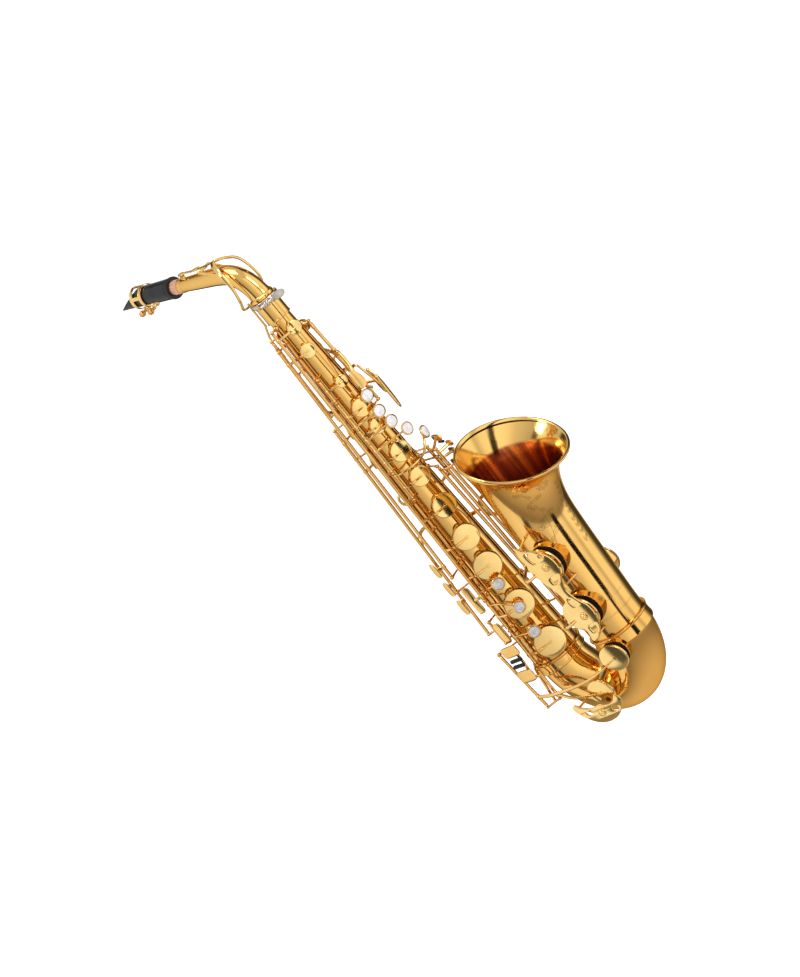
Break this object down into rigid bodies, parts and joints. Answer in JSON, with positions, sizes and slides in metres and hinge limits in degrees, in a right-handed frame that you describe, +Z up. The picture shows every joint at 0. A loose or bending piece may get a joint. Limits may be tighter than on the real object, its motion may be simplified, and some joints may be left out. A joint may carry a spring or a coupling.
{
  "type": "saxophone",
  "caption": "Alto saxophone: conical body, bow and flared bell, swivelling neck with mouthpiece, and hinged keywork with cups, rods, pearls, rollers and guards.",
  "frame": {"origin": "centre of the strap ring's eye, on the player's side of the body tube", "axes": "+Z up the body tube towards the neck, +X from the body tube towards the bell, +Y towards the player's left"},
  "size_m": [0.3784, 0.123, 0.676],
  "materials": {
    "lacquered_brass": "polished, gold lacquer",
    "engraved_brass": "satin gold lacquer with line engraving",
    "silver_plate": "polished",
    "black_resin": "gloss",
    "white_pearl": "pearlescent",
    "grey_pearl": "pearlescent",
    "cork": "matt",
    "pad_leather": "matt",
    "cane": "matt"
  },
  "bodies": {
    "saxophone_body": {"body_tube": "lacquered_brass", "bow": "engraved_brass", "bell": "engraved_brass", "bell_brace": "lacquered_brass", "neck_receiver": "silver_plate", "lyre_holder": "lacquered_brass", "strap_ring": "lacquered_brass", "thumb_hook": "lacquered_brass", "thumb_rest": "black_resin", "stack_posts": "lacquered_brass", "side_key_posts": "lacquered_brass", "left_posts": "lacquered_brass", "bell_key_guard": "lacquered_brass", "low_key_guard": "lacquered_brass"},
    "neck": {"neck": "lacquered_brass", "neck_cork": "cork"},
    "neck_octave_key": {"key_neck_octave": "lacquered_brass"},
    "mouthpiece": {"mouthpiece": "black_resin", "reed": "cane", "ligature": "lacquered_brass"},
    "receiver_screw": {"receiver_screw": "silver_plate"},
    "ligature_screw_rear": {"ligature_screw_rear": "lacquered_brass"},
    "ligature_screw_front": {"ligature_screw_front": "lacquered_brass"},
    "table_roller": {"table_roller": "black_resin"},
    "pinky_roller_upper": {"pinky_roller_upper": "black_resin"},
    "pinky_roller_lower": {"pinky_roller_lower": "black_resin"},
    "c_key": {"key_c": "lacquered_brass"},
    "b_key": {"key_b": "lacquered_brass", "pearl_b": "white_pearl"},
    "bis_key": {"key_bis": "lacquered_brass", "pearl_bis": "white_pearl"},
    "a_key": {"key_a": "lacquered_brass", "pearl_a": "white_pearl"},
    "g_key": {"key_g": "lacquered_brass", "pearl_g": "white_pearl"},
    "g_sharp_key": {"key_g_sharp": "lacquered_brass"},
    "f_sharp_key": {"key_f_sharp": "lacquered_brass"},
    "f_key": {"key_f": "lacquered_brass", "pearl_f": "grey_pearl"},
    "e_key": {"key_e": "lacquered_brass", "pearl_e": "grey_pearl"},
    "d_key": {"key_d": "lacquered_brass", "pearl_d": "grey_pearl"},
    "high_f_sharp_key": {"key_high_f_sharp": "lacquered_brass"},
    "high_e_key": {"key_high_e": "lacquered_brass"},
    "side_c_key": {"key_side_c": "lacquered_brass"},
    "side_bflat_key": {"key_side_bflat": "lacquered_brass"},
    "alt_f_sharp_lever": {"lever_alt_f_sharp": "lacquered_brass"},
    "palm_f_key": {"key_palm_f": "lacquered_brass"},
    "palm_eflat_key": {"key_palm_eflat": "lacquered_brass"},
    "palm_d_key": {"key_palm_d": "lacquered_brass"},
    "front_f_key": {"key_front_f": "lacquered_brass", "pearl_front_f": "white_pearl"},
    "low_bflat_key": {"key_low_bflat": "lacquered_brass"},
    "low_b_key": {"key_low_b": "lacquered_brass"},
    "low_csharp_key": {"key_low_csharp": "lacquered_brass"},
    "g_sharp_lever": {"lever_g_sharp": "lacquered_brass"},
    "low_eflat_key": {"key_low_eflat": "lacquered_brass"},
    "low_c_key": {"key_low_c": "lacquered_brass"},
    "thumb_octave_lever": {"lever_thumb_octave": "lacquered_brass"}
  },
  "joints": [
    {"name": "c_key_hinge", "type": "hinge", "parent": "saxophone_body", "child": "c_key", "pos_m": [0.03466, -0.02396, 0.1535], "axis": [0.0061, -0.0316, -0.9995], "range_deg": [-9, 0], "stiffness_Nm_per_rad": 0.0343, "springref_deg": 20.05},
    {"name": "b_key_hinge", "type": "hinge", "parent": "saxophone_body", "child": "b_key", "pos_m": [0.03487, -0.02507, 0.11825], "axis": [0.0061, -0.0316, -0.9995], "range_deg": [-9, 0], "stiffness_Nm_per_rad": 0.0343, "springref_deg": 20.05},
    {"name": "bis_key_hinge", "type": "hinge", "parent": "saxophone_body", "child": "bis_key", "pos_m": [0.03504, -0.02594, 0.09075], "axis": [0.0061, -0.0316, -0.9995], "range_deg": [-8, 0], "stiffness_Nm_per_rad": 0.0343, "springref_deg": 20.05},
    {"name": "a_key_hinge", "type": "hinge", "parent": "saxophone_body", "child": "a_key", "pos_m": [0.03522, -0.02685, 0.062], "axis": [0.0061, -0.0316, -0.9995], "range_deg": [-8, 0], "stiffness_Nm_per_rad": 0.0343, "springref_deg": 20.05},
    {"name": "g_key_hinge", "type": "hinge", "parent": "saxophone_body", "child": "g_key", "pos_m": [0.03546, -0.02808, 0.023], "axis": [0.0061, -0.0316, -0.9995], "range_deg": [-8, 0], "stiffness_Nm_per_rad": 0.0343, "springref_deg": 20.05},
    {"name": "g_sharp_key_hinge", "type": "hinge", "parent": "saxophone_body", "child": "g_sharp_key", "pos_m": [0.02623, -0.0307, -0.018], "axis": [-0.0039, -0.0319, -0.9995], "range_deg": [0, 8], "stiffness_Nm_per_rad": 0.0363, "springref_deg": -20.05},
    {"name": "f_sharp_key_hinge", "type": "hinge", "parent": "saxophone_body", "child": "f_sharp_key", "pos_m": [0.02608, -0.03196, -0.0575], "axis": [-0.0039, -0.0319, -0.9995], "range_deg": [-7, 0], "stiffness_Nm_per_rad": 0.0389, "springref_deg": 20.05},
    {"name": "f_key_hinge", "type": "hinge", "parent": "saxophone_body", "child": "f_key", "pos_m": [0.02589, -0.03348, -0.105], "axis": [-0.0039, -0.0319, -0.9995], "range_deg": [-7, 0], "stiffness_Nm_per_rad": 0.0486, "springref_deg": 20.05},
    {"name": "e_key_hinge", "type": "hinge", "parent": "saxophone_body", "child": "e_key", "pos_m": [0.02571, -0.03498, -0.152], "axis": [-0.0039, -0.0319, -0.9995], "range_deg": [-7, 0], "stiffness_Nm_per_rad": 0.0566, "springref_deg": 20.05},
    {"name": "d_key_hinge", "type": "hinge", "parent": "saxophone_body", "child": "d_key", "pos_m": [0.02552, -0.03651, -0.2], "axis": [-0.0039, -0.0319, -0.9995], "range_deg": [-6.5, 0], "stiffness_Nm_per_rad": 0.0633, "springref_deg": 20.05},
    {"name": "high_f_sharp_key_hinge", "type": "hinge", "parent": "saxophone_body", "child": "high_f_sharp_key", "pos_m": [0.0312, -0.03432, 0.05525], "axis": [0.0015, -0.0419, -0.9991], "range_deg": [0, 9], "stiffness_Nm_per_rad": 0.0343, "springref_deg": -20.05},
    {"name": "high_e_key_hinge", "type": "hinge", "parent": "saxophone_body", "child": "high_e_key", "pos_m": [0.01798, -0.03302, 0.064], "axis": [-0.0167, -0.046, -0.9988], "range_deg": [0, 6], "stiffness_Nm_per_rad": 0.0343, "springref_deg": -20.05},
    {"name": "side_c_key_hinge", "type": "hinge", "parent": "saxophone_body", "child": "side_c_key", "pos_m": [0.00345, -0.02749, 0.001], "axis": [0.034, 0.0352, 0.9988], "range_deg": [0, 9], "stiffness_Nm_per_rad": 0.0343, "springref_deg": -20.05},
    {"name": "side_bflat_key_hinge", "type": "hinge", "parent": "saxophone_body", "child": "side_bflat_key", "pos_m": [-0.00294, -0.02393, -0.05], "axis": [0.0396, 0.0288, 0.9988], "range_deg": [0, 9], "stiffness_Nm_per_rad": 0.0343, "springref_deg": -20.05},
    {"name": "alt_f_sharp_lever_hinge", "type": "hinge", "parent": "saxophone_body", "child": "alt_f_sharp_lever", "pos_m": [0.01075, -0.0362, -0.171], "axis": [0, 0, 1], "range_deg": [0, 6], "stiffness_Nm_per_rad": 0.0343, "springref_deg": -20.05},
    {"name": "palm_f_key_hinge", "type": "hinge", "parent": "saxophone_body", "child": "palm_f_key", "pos_m": [0.04782, 0.01202, 0.1975], "axis": [0.0267, 0.018, -0.9995], "range_deg": [0, 6.5], "stiffness_Nm_per_rad": 0.0343, "springref_deg": -20.05},
    {"name": "palm_eflat_key_hinge", "type": "hinge", "parent": "saxophone_body", "child": "palm_eflat_key", "pos_m": [0.03994, 0.02037, 0.161], "axis": [0.0141, 0.0289, -0.9995], "range_deg": [0, 8], "stiffness_Nm_per_rad": 0.0343, "springref_deg": -20.05},
    {"name": "palm_d_key_hinge", "type": "hinge", "parent": "saxophone_body", "child": "palm_d_key", "pos_m": [0.02838, 0.02316, 0.144], "axis": [-0.0022, 0.0321, -0.9995], "range_deg": [0, 8], "stiffness_Nm_per_rad": 0.0343, "springref_deg": -20.05},
    {"name": "front_f_key_hinge", "type": "hinge", "parent": "saxophone_body", "child": "front_f_key", "pos_m": [0.04752, 0.01692, 0.124], "axis": [0.0231, 0.0224, -0.9995], "range_deg": [0, 4], "stiffness_Nm_per_rad": 0.0343, "springref_deg": -20.05},
    {"name": "low_bflat_key_hinge", "type": "hinge", "parent": "saxophone_body", "child": "low_bflat_key", "pos_m": [0.0695, -0.0015, -0.0595], "axis": [0.0891, -0.0617, -0.9941], "range_deg": [-4, 0], "stiffness_Nm_per_rad": 0.2033, "springref_deg": 20.05},
    {"name": "low_b_key_hinge", "type": "hinge", "parent": "saxophone_body", "child": "low_b_key", "pos_m": [0.0735, 0.002, -0.0905], "axis": [0.0581, -0.0536, -0.9969], "range_deg": [-4, 0], "stiffness_Nm_per_rad": 0.1805, "springref_deg": 20.05},
    {"name": "low_csharp_key_hinge", "type": "hinge", "parent": "saxophone_body", "child": "low_csharp_key", "pos_m": [0.078, 0.0055, -0.0745], "axis": [-0.0579, 0.0241, 0.998], "range_deg": [0, 4.5], "stiffness_Nm_per_rad": 0.1134, "springref_deg": -20.05},
    {"name": "g_sharp_lever_hinge", "type": "hinge", "parent": "saxophone_body", "child": "g_sharp_lever", "pos_m": [0.0606, 0.01363, 0.017], "axis": [0.0269, 0.012, -0.9996], "range_deg": [0, 7], "stiffness_Nm_per_rad": 0.0343, "springref_deg": -20.05},
    {"name": "low_eflat_key_hinge", "type": "hinge", "parent": "saxophone_body", "child": "low_eflat_key", "pos_m": [0.02301, -0.03964, -0.249], "axis": [-0.0068, -0.0388, -0.9992], "range_deg": [0, 5], "stiffness_Nm_per_rad": 0.0834, "springref_deg": -20.05},
    {"name": "low_c_key_hinge", "type": "hinge", "parent": "saxophone_body", "child": "low_c_key", "pos_m": [0.00032, -0.04239, -0.233], "axis": [0.033, 0.0472, -0.9983], "range_deg": [-2.6, 0], "stiffness_Nm_per_rad": 0.2409, "springref_deg": 20.05},
    {"name": "thumb_octave_lever_hinge", "type": "hinge", "parent": "saxophone_body", "child": "thumb_octave_lever", "pos_m": [0.01058, -0.01518, 0.177], "axis": [0.0254, 0.0198, 0.9995], "range_deg": [0, 3.5], "stiffness_Nm_per_rad": 0.0343, "springref_deg": -20.05},
    {"name": "neck_swivel", "type": "hinge", "parent": "saxophone_body", "child": "neck", "pos_m": [0.03, 0, 0.262], "axis": [0, 0, 1], "range_deg": [-20, 20]},
    {"name": "neck_octave_hinge", "type": "hinge", "parent": "neck", "child": "neck_octave_key", "pos_m": [-0.01585, 0.01033, 0.328], "axis": [0.2198, 0.9755, 0], "range_deg": [0, 2.1], "stiffness_Nm_per_rad": 0.0343, "springref_deg": -20.05},
    {"name": "mouthpiece_slide", "type": "slide", "parent": "neck", "child": "mouthpiece", "axis": [-0.9653, 0.2175, 0.1444], "range_m": [-0.0025, 0.012]},
    {"name": "table_roller_spin", "type": "hinge", "parent": "g_sharp_lever", "child": "table_roller", "pos_m": [0.07476, 0.01993, 0.032], "axis": [0.866, -0.5, 0], "continuous": true},
    {"name": "pinky_roller_upper_spin", "type": "hinge", "parent": "low_eflat_key", "child": "pinky_roller_upper", "pos_m": [0.01559, -0.04715, -0.2051], "axis": [0.9945, -0.1045, 0], "continuous": true},
    {"name": "pinky_roller_lower_spin", "type": "hinge", "parent": "low_c_key", "child": "pinky_roller_lower", "pos_m": [0.01379, -0.04726, -0.21244], "axis": [0.9888, -0.1495, -0.0023], "continuous": true},
    {"name": "ligature_screw_rear_turn", "type": "hinge", "parent": "mouthpiece", "child": "ligature_screw_rear", "pos_m": [-0.12785, 0.02688, 0.31584], "axis": [-0.2198, -0.9755, 0], "range_deg": [0, 360]},
    {"name": "ligature_screw_front_turn", "type": "hinge", "parent": "mouthpiece", "child": "ligature_screw_front", "pos_m": [-0.14233, 0.03015, 0.318], "axis": [-0.2198, -0.9755, 0], "range_deg": [0, 360]},
    {"name": "receiver_screw_turn", "type": "hinge", "parent": "saxophone_body", "child": "receiver_screw", "pos_m": [0.04182, -0.01513, 0.266], "axis": [0.788, 0.6157, 0], "range_deg": [0, 360]}
  ],
  "couplings": [
    {"joint": "c_key_hinge", "follows": "a_key_hinge", "ratio": 1.125},
    {"joint": "f_sharp_key_hinge", "follows": "f_key_hinge", "ratio": 1},
    {"joint": "g_sharp_key_hinge", "follows": "g_sharp_lever_hinge", "ratio": 1.1428},
    {"joint": "neck_octave_hinge", "follows": "thumb_octave_lever_hinge", "ratio": 0.6}
  ]
}
